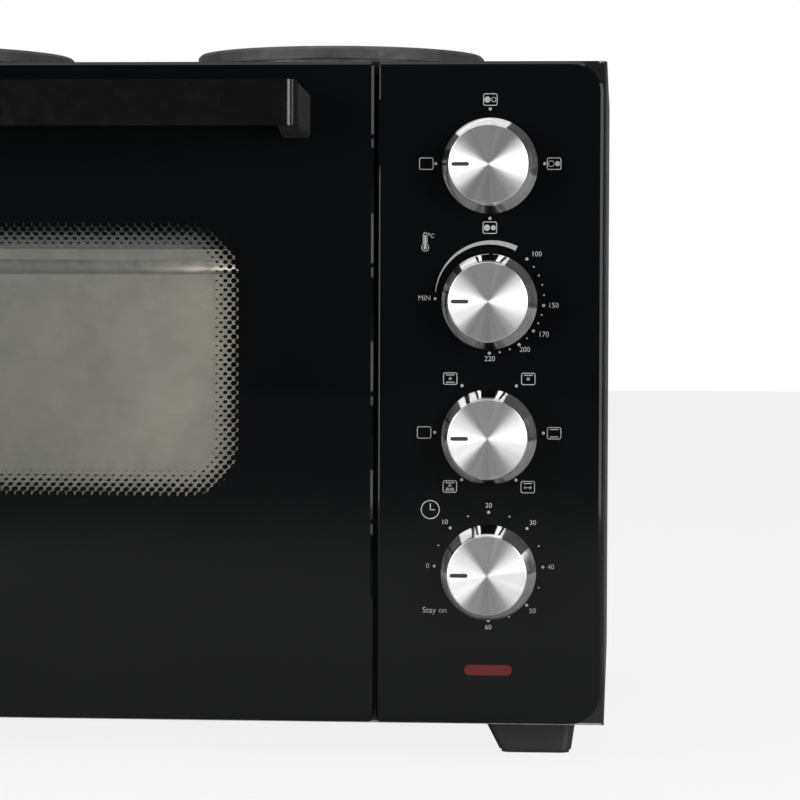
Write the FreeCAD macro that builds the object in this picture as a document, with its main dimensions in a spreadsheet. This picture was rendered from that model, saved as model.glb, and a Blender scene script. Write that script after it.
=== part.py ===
import FreeCAD, Part
import os
import Sketcher

# Mini oven with two hot plates on its hob, a drop-down glass door and four control knobs.
# Millimetres. +Z is up and the front faces -Y. X = 0 is the middle of the width, Z = 0 is the
# surface that the feet stand on, and Y = 0 is midway between the handle and the rear spacers.

SIZES = [
    ("body_width", 530, "over the two side panels"),
    ("hob_level", 336, "top of the hob panel above the worktop"),
    ("shell_back", 382, "front glass plane to the outside of the back panel"),
    ("foot_height", 15, "worktop to the underside of the base pan"),
    ("sheet", 1, "thickness of the steel sheet"),
    ("frame_sheet", 1.2, "thickness of the front frame"),
    ("panel_width", 108.3, "width of the control glass"),
    ("panel_inset", 1.5, "side of the shell to the side of the front glass"),
    ("panel_drop", 1, "hob level to the top of the front glass"),
    ("panel_rise", 17, "worktop to the bottom of the front glass"),
    ("panel_gap", 1.4, "gap between door and control panel"),
    ("glass", 4, "thickness of the front glass"),
    ("corner_large", 15, "outer corner radius of the control glass"),
    ("corner_small", 2.5, "other corner radii of the front glass"),
    ("knob_top", 285, "height of the top knob's axis"),
    ("knob_pitch", 65, "distance between knob axes"),
    ("knob_base", 22.9, "radius of a knob where it meets the panel"),
    ("knob_face", 19.5, "radius of a knob's face"),
    ("knob_depth", 20, "how far a knob stands out of the glass"),
    ("knob_gap", 1, "gap between a knob and the glass"),
    ("cap_depth", 1.2, "thickness of the metal cap on a knob"),
    ("knob_wall", 2, "thickness of a knob's skirt"),
    ("knob_hub", 7, "radius of a knob's hub"),
    ("shaft_seat", 5, "back of the metal cap to the end of the shaft"),
    ("pointer_length", 7.5, "length of the pointer slot in a cap"),
    ("pointer_width", 1.6, "width of the pointer slot"),
    ("shaft_radius", 3, "radius of a knob shaft"),
    ("shaft_hole", 4.5, "radius of the shaft hole in glass and frame"),
    ("shaft_fit", 0.05, "radial clearance of a shaft in its switch"),
    ("switch_width", 44, "width and height of a switch body"),
    ("switch_depth", 32, "depth of a switch body"),
    ("lens_width", 22.8, "width of the pilot lamp's lens"),
    ("lens_height", 5, "height of the pilot lamp's lens"),
    ("lens_level", 42.9, "height of the lens centre"),
    ("lens_fit", 0.1, "clearance round the lens"),
    ("door_depth", 12, "front of the door glass to the back of the door"),
    ("door_gap", 2, "gap between the closed door and the front frame"),
    ("door_inset", 2.5, "edge of the door glass to the edge of the door frame"),
    ("door_wall", 18, "width of the door frame's sides"),
    ("door_head", 42, "height of the door frame's top"),
    ("pivot_y", 8, "front glass plane to the door's pivot axis"),
    ("pivot_level", 22, "height of the door's pivot axis"),
    ("window_side", 65.5, "edge of the door to the edge of its window"),
    ("window_low", 125, "height of the window's lower edge"),
    ("window_high", 258, "height of the window's upper edge"),
    ("window_corner", 26, "corner radius of the window"),
    ("inner_glass", 3, "thickness of the inner door glass"),
    ("glass_lap", 10, "how far the inner glass laps over the window's edge"),
    ("handle_reach", 37, "front glass plane to the front of the handle"),
    ("handle_side", 31, "edge of the door to the end of the handle"),
    ("handle_low", 302.4, "height of the handle bar's lower edge"),
    ("bar_height", 21.5, "height of the handle bar"),
    ("bar_depth", 8.5, "depth of the handle bar"),
    ("bar_end", 6, "radius of the handle bar's ends"),
    ("bracket_width", 10, "width of a handle bracket at the bar"),
    ("bracket_foot", 14, "width of a handle bracket at the door"),
    ("bracket_drop", 4, "how far a bracket steps down towards the door"),
    ("screw_radius", 2, "radius of the screws' threads"),
    ("head_radius", 4, "radius of the screws' heads"),
    ("head_depth", 2.4, "thickness of the screws' heads"),
    ("hinge_offset", 14, "cavity wall to the middle of a hinge"),
    ("hinge_plate", 3, "thickness of a hinge bracket and hinge arm"),
    ("hinge_play", 0.4, "side gap between hinge plates"),
    ("pin_radius", 2.5, "radius of a hinge pin"),
    ("pin_fit", 0.06, "radial clearance of a hinge pin"),
    ("arm_radius", 45, "radius of the middle of the curved hinge arm"),
    ("arm_height", 6, "radial height of the hinge arm"),
    ("cavity_width", 334, "inside width of the oven cavity"),
    ("cavity_floor", 47, "height of the cavity's floor"),
    ("cavity_top", 252, "height of the cavity's ceiling"),
    ("cavity_back", 330, "front glass plane to the cavity's back wall"),
    ("mouth_border", 6, "how far the front frame overlaps the cavity"),
    ("seal_depth", 1.7, "thickness of the door seal"),
    ("seal_width", 7, "width of the door seal"),
    ("rail_reach", 12, "how far the shelf rails stand out of the wall"),
    ("tray_level", 82, "height of the lower shelf rail"),
    ("rack_level", 98, "height of the upper shelf rail"),
    ("shelf_gap", 8, "side gap between a shelf and the cavity wall"),
    ("wire", 2.5, "radius of the rack's frame wire"),
    ("thin_wire", 1.25, "radius of the rack's cross wires"),
    ("tray_depth", 18, "depth of the baking tray"),
    ("tray_sheet", 1, "thickness of the baking tray"),
    ("element_radius", 3.25, "radius of a heating element"),
    ("element_low", 58, "height of the lower heating elements"),
    ("element_high", 238, "height of the upper heating elements"),
    ("element_front", 110, "front glass plane to the front elements"),
    ("element_rear", 240, "front glass plane to the rear elements"),
    ("insulator_radius", 7, "radius of the elements' ceramic bushes"),
    ("insulator_length", 10, "length of the elements' ceramic bushes"),
    ("plate_y", 196.6, "front glass plane to the hot plates' centres"),
    ("plate_x", 120, "middle of the width to the hot plates' centres"),
    ("plate_small", 77.5, "radius of the right hot plate"),
    ("plate_large", 92.5, "radius of the left hot plate"),
    ("plate_rise", 16.5, "hob level to the top of a hot plate"),
    ("plate_rim", 6.2, "thickness of a hot plate's rim"),
    ("plate_skirt", 6.5, "edge of a hot plate to its skirt"),
    ("ring_sheet", 0.8, "thickness of the steel ring under a hot plate"),
    ("stud_radius", 4, "radius of a hot plate's stud"),
    ("stud_length", 22, "length of a hot plate's stud below the hob"),
    ("clamp_width", 24, "width of a hot plate's clamp bar"),
    ("fan_y", 255, "front glass plane to the fan's axis"),
    ("fan_level", 150, "height of the fan's axis"),
    ("fan_radius", 36, "radius of the fan"),
    ("fan_width", 9, "width of the fan's blades"),
    ("fan_cover_radius", 46, "radius of the fan cover"),
    ("fan_cover_depth", 18, "how far the fan cover stands out of the wall"),
    ("axle_radius", 3, "radius of the fan's and drive's shafts"),
    ("axle_hole", 4, "radius of their holes in the cavity wall"),
    ("axle_fit", 0.05, "radial clearance of those shafts in their motors"),
    ("spit_y", 150, "front glass plane to the rotisserie drive"),
    ("spit_radius", 7, "radius of the drive socket"),
    ("spit_length", 11, "length of the drive socket"),
    ("lamp_y", 80, "front glass plane to the oven lamp"),
    ("lamp_level", 205, "height of the oven lamp"),
    ("lamp_radius", 20, "radius of the oven lamp's glass cover"),
    ("foot_top", 44, "width of a foot at the base pan"),
    ("foot_bottom", 35, "width of a foot at the worktop"),
    ("foot_depth", 42, "depth of a foot"),
    ("foot_side", 14, "side of the shell to the side of a foot"),
    ("foot_front", 22, "front glass plane to the front of the front feet"),
    ("foot_pad", 1.5, "thickness of the rubber pads"),
    ("spacer_length", 11, "length of the rear spacers"),
    ("gland_radius", 8, "radius of the cord gland"),
    ("running_gap", 0.3, "clearance beside moving parts"),
    ("door_skin", 0.8, "thickness of the door's inner panel"),
    ("door_plate", 1.2, "thickness of the door frame"),
    ("door_sill", 8, "pivot axis to the bottom of the door frame"),
    ("ear_radius", 3.7, "radius of the hinge ears"),
    ("slot_margin", 0.5, "clearance round pieces that pass through a plate"),
    ("vent_length", 26, "length of a cooling slot"),
    ("vent_width", 4, "width of a cooling slot"),
    ("vent_pitch", 12, "distance between cooling slots"),
    ("tray_corner", 12, "corner radius of the baking tray"),
    ("shield_rise", 20, "cavity ceiling to the heat shield"),
]

doc = FreeCAD.newDocument("MiniOven")
sheet = doc.addObject("Spreadsheet::Sheet", "Sizes")
for row, (alias, number, meaning) in enumerate(SIZES, 1):
    sheet.set(f"A{row}", alias)
    sheet.set(f"B{row}", str(number))
    sheet.setAlias(f"B{row}", alias)
    sheet.set(f"C{row}", meaning)
doc.recompute()
ALIASES = sorted((alias for alias, _, _ in SIZES), key=len, reverse=True)
NODES = []
X_AXIS = FreeCAD.Vector(1, 0, 0)
Y_AXIS = FreeCAD.Vector(0, 1, 0)
TURNS = {
    "X": FreeCAD.Rotation(Y_AXIS, 90),
    "Y": FreeCAD.Rotation(X_AXIS, -90),
    "Z": FreeCAD.Rotation(),
}


def sized(text):
    """An expression on the sheet: each alias in the text gets the sheet's name."""
    words = str(text)
    for mark in "()+-*/,":
        words = words.replace(mark, f" {mark} ")
    known = [f"Sizes.{word}" if word in ALIASES else word for word in words.split()]
    return " ".join(known).replace("cos (", "cos(").replace("sin (", "sin(")


def number(text):
    """The value of an expression on the sheet."""
    return float(sheet.evalExpression(sized(text)))


# Places worked out from the sizes. FRONT is the front glass plane, in Y.
FRONT = "(handle_reach - (handle_reach + shell_back + spacer_length)/2)"
PANEL_DEPTH = "(door_depth + door_gap)"
SHELL_FRONT = f"({FRONT} + {PANEL_DEPTH})"
SHELL_BACK = f"({FRONT} + shell_back)"
SIDE = "(body_width/2)"
PANEL_RIGHT = "(body_width/2 - panel_inset)"
PANEL_LEFT = "(body_width/2 - panel_inset - panel_width)"
PANEL_TOP = "(hob_level - panel_drop)"
PANEL_HEIGHT = "(hob_level - panel_drop - panel_rise)"
KNOB_X = "(body_width/2 - panel_inset - panel_width/2)"
DOOR_RIGHT = "(body_width/2 - panel_inset - panel_width - panel_gap)"
DOOR_LEFT = "(0 - body_width/2 + panel_inset)"
DOOR_WIDTH = "(body_width - panel_inset*2 - panel_width - panel_gap)"
DOOR_X = "(0 - (panel_width + panel_gap)/2)"
DOOR_BACK = f"({FRONT} + door_depth)"
PIVOT_Y = f"({FRONT} + pivot_y)"
CAVITY_LEFT = f"({DOOR_X} - cavity_width/2)"
CAVITY_RIGHT = f"({DOOR_X} + cavity_width/2)"
CAVITY_FRONT = f"({SHELL_FRONT} + frame_sheet)"
CAVITY_BACK = f"({FRONT} + cavity_back)"
CAVITY_DEPTH = f"(cavity_back - {PANEL_DEPTH} - frame_sheet)"
CAVITY_HEIGHT = "(cavity_top - cavity_floor)"
BASE_TOP = "(foot_height + sheet)"
HINGE_RIGHT = f"({CAVITY_RIGHT} + hinge_offset)"
HINGE_LEFT = f"({CAVITY_LEFT} - hinge_offset)"
BAR_BACK = f"({FRONT} - handle_reach + bar_depth)"


def place(piece, corner):
    """Bind a piece's position to the sheet."""
    for letter, text in zip("xyz", corner):
        piece.setExpression(f"Placement.Base.{letter}", sized(text))
    return piece


def node(piece, label):
    """Name a finished sub-part."""
    piece.Label = label
    NODES.append(piece)
    return piece


def box(corner, size, name="block"):
    piece = doc.addObject("Part::Box", name)
    for side, text in zip(("Length", "Width", "Height"), size):
        piece.setExpression(side, sized(text))
    return place(piece, corner)


def rod(start, radius, length, axis="Z", name="rod"):
    """A cylinder that runs from its start along +X, +Y or +Z."""
    piece = doc.addObject("Part::Cylinder", name)
    piece.setExpression("Radius", sized(radius))
    piece.setExpression("Height", sized(length))
    piece.Placement = FreeCAD.Placement(FreeCAD.Vector(), TURNS[axis])
    return place(piece, start)


def join(pieces, name="joined"):
    """One shape from several: pieces that touch merge, others stay separate solids."""
    if len(pieces) == 1:
        return pieces[0]
    piece = doc.addObject("Part::MultiFuse", name)
    piece.Shapes = pieces
    piece.Refine = True
    return piece


def cut(base, tools, name="cut"):
    piece = doc.addObject("Part::Cut", name)
    piece.Base = base
    piece.Tool = join(tools, "tools")
    return piece


def rounded(base, axis, radii, slack=1e-6, name="rounded"):
    """Round the edges along one axis; radii gives (radius, test of the edge's middle point)."""
    doc.recompute()
    edges = []
    for index, edge in enumerate(base.Shape.Edges, 1):
        if not isinstance(edge.Curve, Part.Line):
            continue
        if abs(abs(edge.tangentAt(edge.FirstParameter).dot(axis)) - 1) > slack:
            continue
        middle = edge.CenterOfMass
        for radius, wanted in radii:
            if wanted(middle):
                size = number(radius)
                edges.append((index, size, size))
                break
    piece = doc.addObject("Part::Fillet", name)
    piece.Base = base
    piece.Edges = edges
    return piece


def outline(body, role, points):
    """A closed sketch of straight lines on one of the body's own planes, bound to the sheet."""
    sketch = body.newObject("Sketcher::SketchObject", "outline")
    plane = next(item for item in body.Origin.OriginFeatures if item.Role == role)
    sketch.AttachmentSupport = [(plane, "")]
    sketch.MapMode = "FlatFace"
    spots = [FreeCAD.Vector(number(x), number(y), 0) for x, y in points]
    count = len(spots)
    for index in range(count):
        sketch.addGeometry(Part.LineSegment(spots[index], spots[(index + 1) % count]), False)
    for index in range(count):
        sketch.addConstraint(Sketcher.Constraint("Coincident", index, 2, (index + 1) % count, 1))
    for index, texts in enumerate(points):
        for kind, text, start in zip(("DistanceX", "DistanceY"), texts, spots[index]):
            rule = Sketcher.Constraint(kind, -1, 1, index, 1, start)
            spot = sketch.addConstraint(rule)
            sketch.setExpression(f"Constraints[{spot}]", sized(text))
    return sketch


def turned(label, role, points, corner, axis="V_Axis"):
    """A body turned through a full circle about one axis of its outline."""
    body = doc.addObject("PartDesign::Body", label)
    profile = outline(body, role, points)
    feature = body.newObject("PartDesign::Revolution", "turned")
    feature.Profile = profile
    feature.ReferenceAxis = (profile, [axis])
    feature.Angle = 360
    return place(body, corner)


def mirrored(source, x_text):
    """The mirror image of a piece in an upright plane at the given X."""
    piece = doc.addObject("Part::Mirroring", "mirrored")
    piece.Source = source
    piece.Normal = X_AXIS
    piece.setExpression("Base.x", sized(x_text))
    return piece


def vents(corner, across, rows, direction):
    """A row of cooling slots, as cutters: they repeat along one axis of a plate."""
    slots = []
    for index in range(rows):
        start = list(corner)
        axis = "XYZ".index(direction)
        start[axis] = f"{corner[axis]} + vent_pitch*{index}"
        slots.append(box(start, across, "slot"))
    return slots


def cross_holes(radius, start_x, length):
    """Cutters or rods on the four heating elements' axes."""
    pieces = []
    for level in ("element_low", "element_high"):
        for depth in ("element_front", "element_rear"):
            pieces.append(rod((start_x, f"{FRONT} + {depth}", level), radius, length, "X"))
    return pieces


def case_panels():
    inner_x = f"(0 - {SIDE} + sheet)"
    inner_width = "(body_width - sheet*2)"
    depth = f"(shell_back - {PANEL_DEPTH})"
    wall_height = "(hob_level - sheet - foot_height)"
    pan = box((inner_x, SHELL_FRONT, "foot_height"), (inner_width, f"{depth} - sheet", "sheet"))
    slot = ("vent_width", "vent_length", "sheet*4")
    low = vents(("0 - 120", f"{FRONT} + 280", "foot_height - sheet"), slot, 14, "X")
    node(cut(pan, low), "base_pan")
    left = box((f"0 - {SIDE}", SHELL_FRONT, "foot_height"), ("sheet", depth, wall_height))
    right = box((f"{SIDE} - sheet", SHELL_FRONT, "foot_height"), ("sheet", depth, wall_height))
    slot = ("sheet*4", "vent_width", "vent_length")
    for side, x_text, label in ((left, f"0 - {SIDE} - sheet", "left_side_panel"),
                                (right, f"{SIDE} - sheet*2", "right_side_panel")):
        slots = vents((x_text, f"{FRONT} + 190", "hob_level - 60"), slot, 12, "Y")
        slots += vents((x_text, f"{FRONT} + 190", "foot_height + 30"), slot, 12, "Y")
        node(cut(side, slots), label)
    slot = ("vent_width", "sheet*4", "vent_length")
    back = box((inner_x, f"{SHELL_BACK} - sheet", "foot_height"), (inner_width, "sheet", wall_height))
    tools = vents(("0 - 150", f"{SHELL_BACK} - sheet*2", "hob_level - 70"), slot, 24, "X")
    tools.append(rod((KNOB_X, f"{SHELL_BACK} - sheet*2", "foot_height + 28"), "gland_radius",
                     "sheet*4", "Y"))
    for x_text, z_text in case_screw_places():
        tools.append(rod((x_text, f"{SHELL_BACK} - sheet*2", z_text), "screw_radius", "sheet*4", "Y"))
    node(cut(back, tools), "back_panel")
    hob = box((f"0 - {SIDE}", SHELL_FRONT, "hob_level - sheet"), ("body_width", depth, "sheet"))
    holes = []
    for x_text in ("plate_x", "0 - plate_x"):
        holes.append(rod((x_text, f"{FRONT} + plate_y", "hob_level - sheet*2"),
                         "stud_radius + slot_margin", "sheet*4"))
    hob = cut(hob, holes)
    node(rounded(hob, FreeCAD.Vector(0, 0, 1), [("corner_small*2", lambda middle: True)]),
         "hob_top_panel")


def case_screw_places():
    places = []
    for x_text in (f"0 - {SIDE} + 12", "0 - 60", "60", f"{SIDE} - 12"):
        for z_text in ("foot_height + 10", "hob_level - 12"):
            places.append((x_text, z_text))
    return places


def front_frame():
    plate = box((f"0 - {SIDE} + sheet", SHELL_FRONT, BASE_TOP),
                ("body_width - sheet*2", "frame_sheet", f"hob_level - sheet - {BASE_TOP}"))
    mouth = box((f"{CAVITY_LEFT} + mouth_border", f"{SHELL_FRONT} - 2", "cavity_floor + mouth_border"),
                ("cavity_width - mouth_border*2", "frame_sheet + 4",
                 f"{CAVITY_HEIGHT} - mouth_border*2"))
    mouth = rounded(mouth, Y_AXIS, [("mouth_border*2", lambda middle: True)])
    tools = [mouth]
    for x_text in (HINGE_LEFT, HINGE_RIGHT):
        tools.append(box((f"{x_text} - hinge_plate/2 - slot_margin", f"{SHELL_FRONT} - 2",
                          "pivot_level - ear_radius - slot_margin"),
                         ("hinge_plate + slot_margin*2", "frame_sheet + 4",
                          "ear_radius*2 + slot_margin*2")))
    for side, x_text in ((1, HINGE_RIGHT), (-1, HINGE_LEFT)):
        tools.append(box((f"{x_text} + {side}*(hinge_plate + hinge_play) - hinge_plate/2 - slot_margin",
                          f"{SHELL_FRONT} - 2", "pivot_level + arm_radius - arm_height/2 - 1.5"),
                         ("hinge_plate + slot_margin*2", "frame_sheet + 4", "arm_height + 2")))
    for index in range(4):
        tools.append(rod((KNOB_X, f"{SHELL_FRONT} - 2", f"knob_top - knob_pitch*{index}"),
                         "shaft_hole", "frame_sheet + 4", "Y"))
    tools.append(rod((KNOB_X, f"{SHELL_FRONT} - 2", "lens_level"), "element_radius",
                     "frame_sheet + 4", "Y"))
    node(cut(plate, tools), "front_frame")


def control_panel():
    corner = (PANEL_LEFT, FRONT, "panel_rise")
    plate = box(corner, ("panel_width", "glass", PANEL_HEIGHT))
    middle_x = number(KNOB_X)
    radii = [("corner_large", lambda middle: middle.x > middle_x),
             ("corner_small", lambda middle: middle.x < middle_x)]
    plate = rounded(plate, Y_AXIS, radii)
    tools = []
    for index in range(4):
        tools.append(rod((KNOB_X, f"{FRONT} - 2", f"knob_top - knob_pitch*{index}"),
                         "shaft_hole", PANEL_DEPTH, "Y"))
    tools.append(lens_shape("lens_fit", "2", PANEL_DEPTH))
    node(cut(plate, tools), "control_glass")
    rim = "door_inset"
    outer = box((f"{PANEL_LEFT} + {rim}", f"{FRONT} + glass", f"panel_rise + {rim}"),
                (f"panel_width - {rim}*2", f"{PANEL_DEPTH} - glass", f"{PANEL_HEIGHT} - {rim}*2"))
    outer = rounded(outer, Y_AXIS, [(f"corner_large - {rim}", lambda middle: middle.x > middle_x)])
    inner = box((f"{PANEL_LEFT} + {rim} + door_plate", f"{FRONT} + glass + door_plate",
                 f"panel_rise + {rim} + door_plate"),
                (f"panel_width - {rim}*2 - door_plate*2", PANEL_DEPTH,
                 f"{PANEL_HEIGHT} - {rim}*2 - door_plate*2"))
    inner = rounded(inner, Y_AXIS,
                    [(f"corner_large - {rim} - door_plate", lambda middle: middle.x > middle_x)])
    tray = cut(outer, [inner])
    tools = []
    for index in range(4):
        tools.append(rod((KNOB_X, FRONT, f"knob_top - knob_pitch*{index}"),
                         "shaft_hole", PANEL_DEPTH, "Y"))
    tools.append(lens_shape("lens_fit", "2", PANEL_DEPTH))
    node(cut(tray, tools), "control_panel_frame")
    node(lens_shape("0", "0.4", "glass + door_plate + 0.4"), "pilot_lens")
    node(rod((KNOB_X, f"{FRONT} + glass + door_plate + 0.2", "lens_level"),
             "element_radius - axle_fit", "16", "Y"), "pilot_lamp")


def lens_shape(clearance, out, length):
    """The pilot lamp's rounded slot, with a clearance all round."""
    shape = box((f"{KNOB_X} - lens_width/2 - {clearance}", f"{FRONT} - {out}",
                 f"lens_level - lens_height/2 - {clearance}"),
                (f"lens_width + {clearance}*2", length, f"lens_height + {clearance}*2"))
    return rounded(shape, Y_AXIS, [(f"lens_height*0.45 + {clearance}", lambda middle: True)])


def cavity():
    wall = (f"{CAVITY_LEFT} - sheet", CAVITY_FRONT)
    node(box((*wall, "cavity_top"), ("cavity_width + sheet*2", CAVITY_DEPTH, "sheet")),
         "cavity_ceiling")
    node(box((*wall, "cavity_floor - sheet"), ("cavity_width + sheet*2", CAVITY_DEPTH, "sheet")),
         "cavity_floor_plate")
    node(box((f"{CAVITY_LEFT} - sheet", CAVITY_BACK, "cavity_floor - sheet"),
             ("cavity_width + sheet*2", "sheet", f"{CAVITY_HEIGHT} + sheet*2")), "cavity_back_wall")
    hole = "element_radius + slot_margin"
    left = box((*wall, "cavity_floor"), ("sheet", CAVITY_DEPTH, CAVITY_HEIGHT))
    node(cut(left, cross_holes(hole, f"{CAVITY_LEFT} - sheet*2", "sheet*4")), "cavity_left_wall")
    right = box((CAVITY_RIGHT, CAVITY_FRONT, "cavity_floor"), ("sheet", CAVITY_DEPTH, CAVITY_HEIGHT))
    tools = cross_holes(hole, f"{CAVITY_RIGHT} - sheet", "sheet*4")
    tools.append(rod((f"{CAVITY_RIGHT} - sheet", f"{FRONT} + fan_y", "fan_level"), "axle_hole",
                     "sheet*4", "X"))
    tools.append(rod((f"{CAVITY_RIGHT} - sheet", f"{FRONT} + spit_y", "fan_level"), "axle_hole",
                     "sheet*4", "X"))
    tools.append(rod((f"{CAVITY_RIGHT} - sheet", f"{FRONT} + lamp_y", "lamp_level"),
                     "lamp_radius - 5", "sheet*4", "X"))
    node(cut(right, tools), "cavity_right_wall")
    rails = []
    for x_text in (CAVITY_LEFT, f"{CAVITY_RIGHT} - rail_reach"):
        for level in ("tray_level", "rack_level"):
            rails.append(box((x_text, f"{CAVITY_FRONT} + 8", f"{level} - 1.5"),
                             ("rail_reach", f"{CAVITY_DEPTH} - 16", "1.5")))
    node(join(rails), "shelf_rails")
    shield_top = box((f"{CAVITY_LEFT} - sheet", f"{CAVITY_FRONT} + 20", "cavity_top + shield_rise"),
                     ("cavity_width + sheet*2", f"{CAVITY_DEPTH} - 40", "sheet"))
    sides = [shield_top]
    for x_text in (f"{CAVITY_LEFT} - sheet", CAVITY_RIGHT):
        sides.append(box((x_text, f"{CAVITY_FRONT} + 20", "cavity_top + sheet"),
                         ("sheet", f"{CAVITY_DEPTH} - 40", "shield_rise - sheet")))
    node(join(sides), "heat_shield")


def heating():
    reach = "(sheet + insulator_length + 6)"
    rods = cross_holes("element_radius", f"{CAVITY_LEFT} - {reach}", f"cavity_width + {reach}*2")
    node(join(rods[:2]), "lower_heating_elements")
    node(join(rods[2:]), "upper_heating_elements")
    bushes = cross_holes("insulator_radius", f"{CAVITY_LEFT} - sheet - insulator_length",
                         "insulator_length")
    bushes += cross_holes("insulator_radius", f"{CAVITY_RIGHT} + sheet", "insulator_length")
    cores = cross_holes("element_radius + lens_fit", f"{CAVITY_LEFT} - {reach}",
                        f"cavity_width + {reach}*2")
    node(cut(join(bushes), cores), "element_insulators")


def hob():
    rings = []
    for side, radius, label in (("1", "plate_small", "right"), ("(0-1)", "plate_large", "left")):
        corner = (f"{side}*plate_x", f"{FRONT} + plate_y", "hob_level + plate_rise")
        skirt = f"{radius} - plate_skirt"
        profile = [("0", "0 - 1.2"), ("16", "0 - 1.2"), ("18", "0"), (f"{radius} - 1.5", "0"),
                   (radius, "0 - 1.5"), (radius, "0 - plate_rim"), (skirt, "0 - plate_rim"),
                   (skirt, "0 - plate_rise + 2"), (f"{skirt} - 5", "0 - plate_rise + 2"),
                   (f"{skirt} - 5", "0 - plate_rim - 2"), ("stud_radius", "0 - plate_rim - 2"),
                   ("stud_radius", "0 - plate_rise - stud_length"),
                   ("0", "0 - plate_rise - stud_length")]
        node(turned(f"{label}_plate", "XZ_Plane", profile, corner), f"{label}_hot_plate")
        top = f"{skirt} + running_gap"
        foot = f"{radius} - 1.5"
        ring = [(top, "0 - plate_rim"), (f"{top} + ring_sheet", "0 - plate_rim"),
                (f"{foot} + ring_sheet", "0 - plate_rise"), (foot, "0 - plate_rise")]
        rings.append(turned(f"{label}_ring", "XZ_Plane", ring, corner))
    node(join(rings), "plate_rings")
    bars = []
    nuts = []
    holes = []
    for side in ("1", "(0-1)"):
        centre = f"{side}*plate_x"
        y_text = f"{FRONT} + plate_y"
        bars.append(box((f"{centre} - 45", f"{y_text} - clamp_width/2", "hob_level - sheet - 2"),
                        ("90", "clamp_width", "2")))
        holes.append(rod((centre, y_text, "hob_level - 30"), "stud_radius + axle_fit", "40"))
        nut = doc.addObject("Part::Prism", "nut")
        nut.Polygon = 6
        nut.setExpression("Circumradius", sized("stud_radius*1.9"))
        nut.setExpression("Height", sized("stud_radius*1.6"))
        nuts.append(place(nut, (centre, y_text, "hob_level - sheet - 2 - stud_radius*1.6")))
    clamps = cut(join(bars), holes)
    fasteners = cut(join(nuts), holes)
    group = doc.addObject("Part::Compound", "group")
    group.Links = [clamps, fasteners]
    node(group, "plate_clamps")


def standing_parts():
    """Feet with rubber pads, rear spacers, cord gland and terminal block."""
    feet = (("front_right_foot", "1", "foot_front"), ("front_left_foot", "(0-1)", "foot_front"),
            ("rear_right_foot", "1", "(shell_back - foot_front - foot_depth)"),
            ("rear_left_foot", "(0-1)", "(shell_back - foot_front - foot_depth)"))
    pads = []
    solids = []
    for label, side, y_text in feet:
        outer = f"({SIDE} - foot_side)"
        foot = doc.addObject("Part::Wedge", label)
        low_outer = f"{outer} - 2"
        spans = {"Xmin": (f"{low_outer} - foot_bottom", low_outer),
                 "X2min": (f"{outer} - foot_top", outer)}
        for name, (near, far) in spans.items():
            low, high = (near, far) if side == "1" else (f"0 - ({far})", f"0 - ({near})")
            foot.setExpression(name, sized(low))
            foot.setExpression(name.replace("min", "max"), sized(high))
        foot.setExpression("Ymin", sized("0"))
        foot.setExpression("Ymax", sized("foot_height - foot_pad"))
        for name in ("Z", "Z2"):
            foot.setExpression(f"{name}min", sized("0 - foot_depth"))
            foot.setExpression(f"{name}max", sized("0"))
        foot.Placement = FreeCAD.Placement(FreeCAD.Vector(), FreeCAD.Rotation(X_AXIS, 90))
        place(foot, ("0", f"{FRONT} + {y_text}", "foot_pad"))
        solids.append(rounded(foot, FreeCAD.Vector(0, 0, 1), [("5", lambda middle: True)], slack=0.3))
        low = f"{low_outer} - foot_bottom + 1" if side == "1" else f"0 - ({low_outer}) + 1"
        pad_box = box((low, f"{FRONT} + {y_text} + 1", "0"),
                      ("foot_bottom - 2", "foot_depth - 2", "foot_pad"))
        pads.append(rounded(pad_box, FreeCAD.Vector(0, 0, 1), [("4.5", lambda middle: True)]))
    node(join(solids), "feet")
    node(join(pads), "foot_pads")
    spacers = [rod((f"{side}*200", SHELL_BACK, "hob_level - 100"), "8", "spacer_length", "Y")
               for side in ("1", "(0-1)")]
    node(join(spacers), "rear_spacers")
    gland = join([rod((KNOB_X, f"{SHELL_BACK} - 8", "foot_height + 28"), "gland_radius - axle_fit",
                      "14", "Y"),
                  rod((KNOB_X, SHELL_BACK, "foot_height + 28"), "gland_radius + 2.5", "3", "Y")])
    node(cut(gland, [rod((KNOB_X, f"{SHELL_BACK} - 12", "foot_height + 28"), "3.6", "24", "Y")]),
         "cord_gland")
    node(box((f"{KNOB_X} - 20", f"{SHELL_BACK} - 60", BASE_TOP), ("40", "22", "18")),
         "terminal_block")
    screws = []
    for x_text, z_text in case_screw_places():
        screws.append(rod((x_text, f"{SHELL_BACK} - 7", z_text), "screw_radius - 0.05", "8", "Y"))
        screws.append(rod((x_text, SHELL_BACK, z_text), "head_radius", "head_depth", "Y"))
    node(join(screws), "case_screws")


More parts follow.
